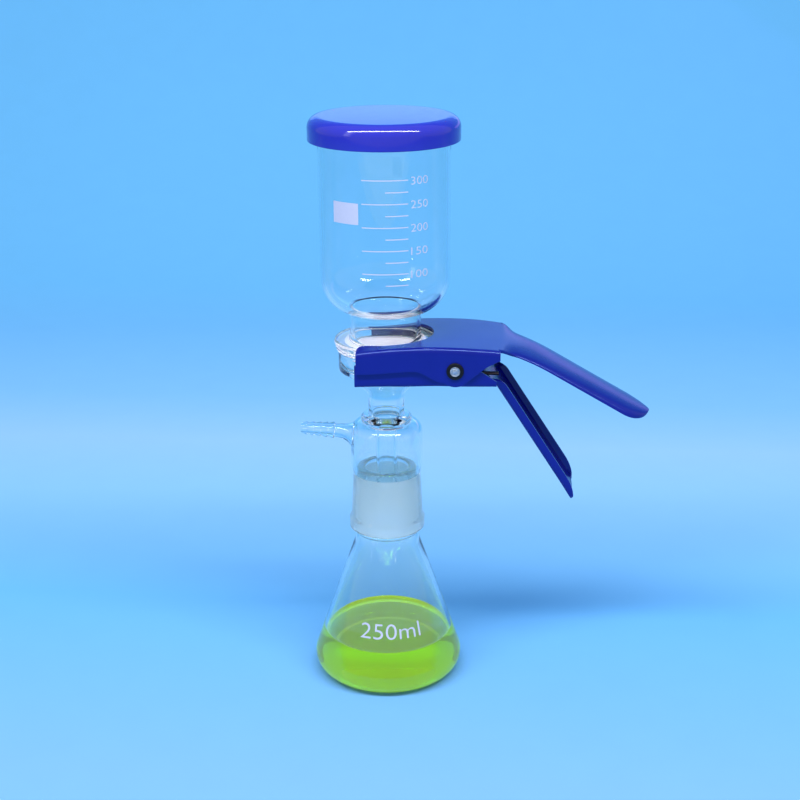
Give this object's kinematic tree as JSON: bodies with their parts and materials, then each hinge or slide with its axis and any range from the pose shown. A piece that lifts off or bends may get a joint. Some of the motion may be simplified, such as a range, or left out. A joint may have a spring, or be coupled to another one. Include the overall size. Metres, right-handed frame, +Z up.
{
  "type": "vacuum filtration unit",
  "caption": "Glass vacuum filtration unit: lidded graduated funnel clamped by a sprung two-handled clamp to a filter base with a hose barb, on a conical flask of filtrate.",
  "frame": {"origin": "centre of the flask's foot on the bench", "axes": "+Z up along the glass axis; +X along the clamp's handles; the hose barb points to -X"},
  "size_m": [0.2044, 0.09, 0.342],
  "materials": {
    "clear_glass": "clear borosilicate, fire polished, joints ground",
    "filtrate": "clear yellow-green liquid",
    "sintered_glass": "matt white sintered glass",
    "membrane": "matt white membrane",
    "white_enamel": "fired white enamel print",
    "blue_plastic": "glossy moulded plastic",
    "blue_paint": "glossy ultramarine coating on folded sheet",
    "bright_steel": "bright turned and drawn steel",
    "black_rubber": "black, slightly glossy"
  },
  "bodies": {
    "unit": {"flask": "clear_glass", "filtrate": "filtrate", "vacuum_adapter": "clear_glass", "support_frit": "sintered_glass", "membrane_filter": "membrane", "funnel": "clear_glass", "scale_lines": "white_enamel", "writing_patch": "white_enamel", "lid": "blue_plastic", "upper_jaw": "blue_paint", "pivot_pin": "bright_steel", "front_retaining_ring": "black_rubber", "rear_retaining_ring": "black_rubber", "torsion_spring": "bright_steel"},
    "lower_jaw": {"lower_jaw": "blue_paint"}
  },
  "joints": [
    {"name": "clamp_pivot", "type": "hinge", "parent": "unit", "child": "lower_jaw", "pos_m": [0.042, 0, 0.2039], "axis": [0, -1, 0], "range_deg": [0, 22], "stiffness_Nm_per_rad": 1.6, "springref_deg": -57.3, "deforming": ["torsion_spring"]}
  ]
}
